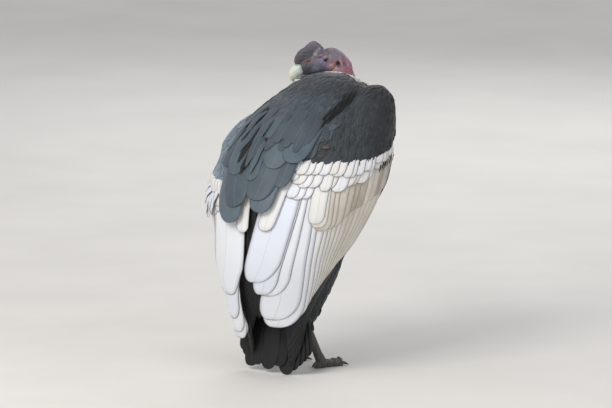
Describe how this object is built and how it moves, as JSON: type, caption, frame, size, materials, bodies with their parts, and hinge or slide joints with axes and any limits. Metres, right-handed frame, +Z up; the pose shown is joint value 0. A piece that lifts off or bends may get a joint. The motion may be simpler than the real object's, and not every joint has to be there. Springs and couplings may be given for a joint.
{
  "type": "perched andean condor",
  "caption": "Still model of a hunched adult male condor at rest: folded wings, tail down, white neck ruff, bare combed head turned to its left.",
  "frame": {"origin": "middle of the bounding box's base, on the floor the bird stands on", "axes": "+Z up; the breast faces -Y, the back and tail +Y; +X is the bird's left side, the side its bill points to"},
  "size_m": [0.4846, 0.564, 0.8169],
  "materials": {
    "black_feather": "soft slate-black plumage",
    "white_feather": "matte white wing plumage",
    "ruff_down": "fluffy white down",
    "neck_skin": "bare folded red skin",
    "head_skin": "bare dusky pink and grey skin",
    "comb_skin": "dark wrinkled comb skin",
    "bill_horn": "satin ivory horn",
    "eye": "wet dark brown eye",
    "leg_skin": "dull grey scaly skin",
    "claw_horn": "dark blunt horn"
  },
  "bodies": {
    "root": {"torso": "black_feather", "mantle": "black_feather", "wing_left": "white_feather", "wing_right": "white_feather", "hand_left": "black_feather", "hand_right": "black_feather", "tail": "black_feather", "thigh_left": "black_feather", "thigh_right": "black_feather", "neck": "neck_skin", "ruff": "ruff_down", "head": "head_skin", "comb": "comb_skin", "bill_upper": "bill_horn", "bill_lower": "bill_horn", "eye_left": "eye", "eye_right": "eye", "shank_left": "leg_skin", "foot_left": "leg_skin", "claw_left_1": "claw_horn", "claw_left_2": "claw_horn", "claw_left_3": "claw_horn", "claw_left_4": "claw_horn", "shank_right": "leg_skin", "foot_right": "leg_skin", "claw_right_1": "claw_horn", "claw_right_2": "claw_horn", "claw_right_3": "claw_horn", "claw_right_4": "claw_horn"}
  },
  "joints": []
}
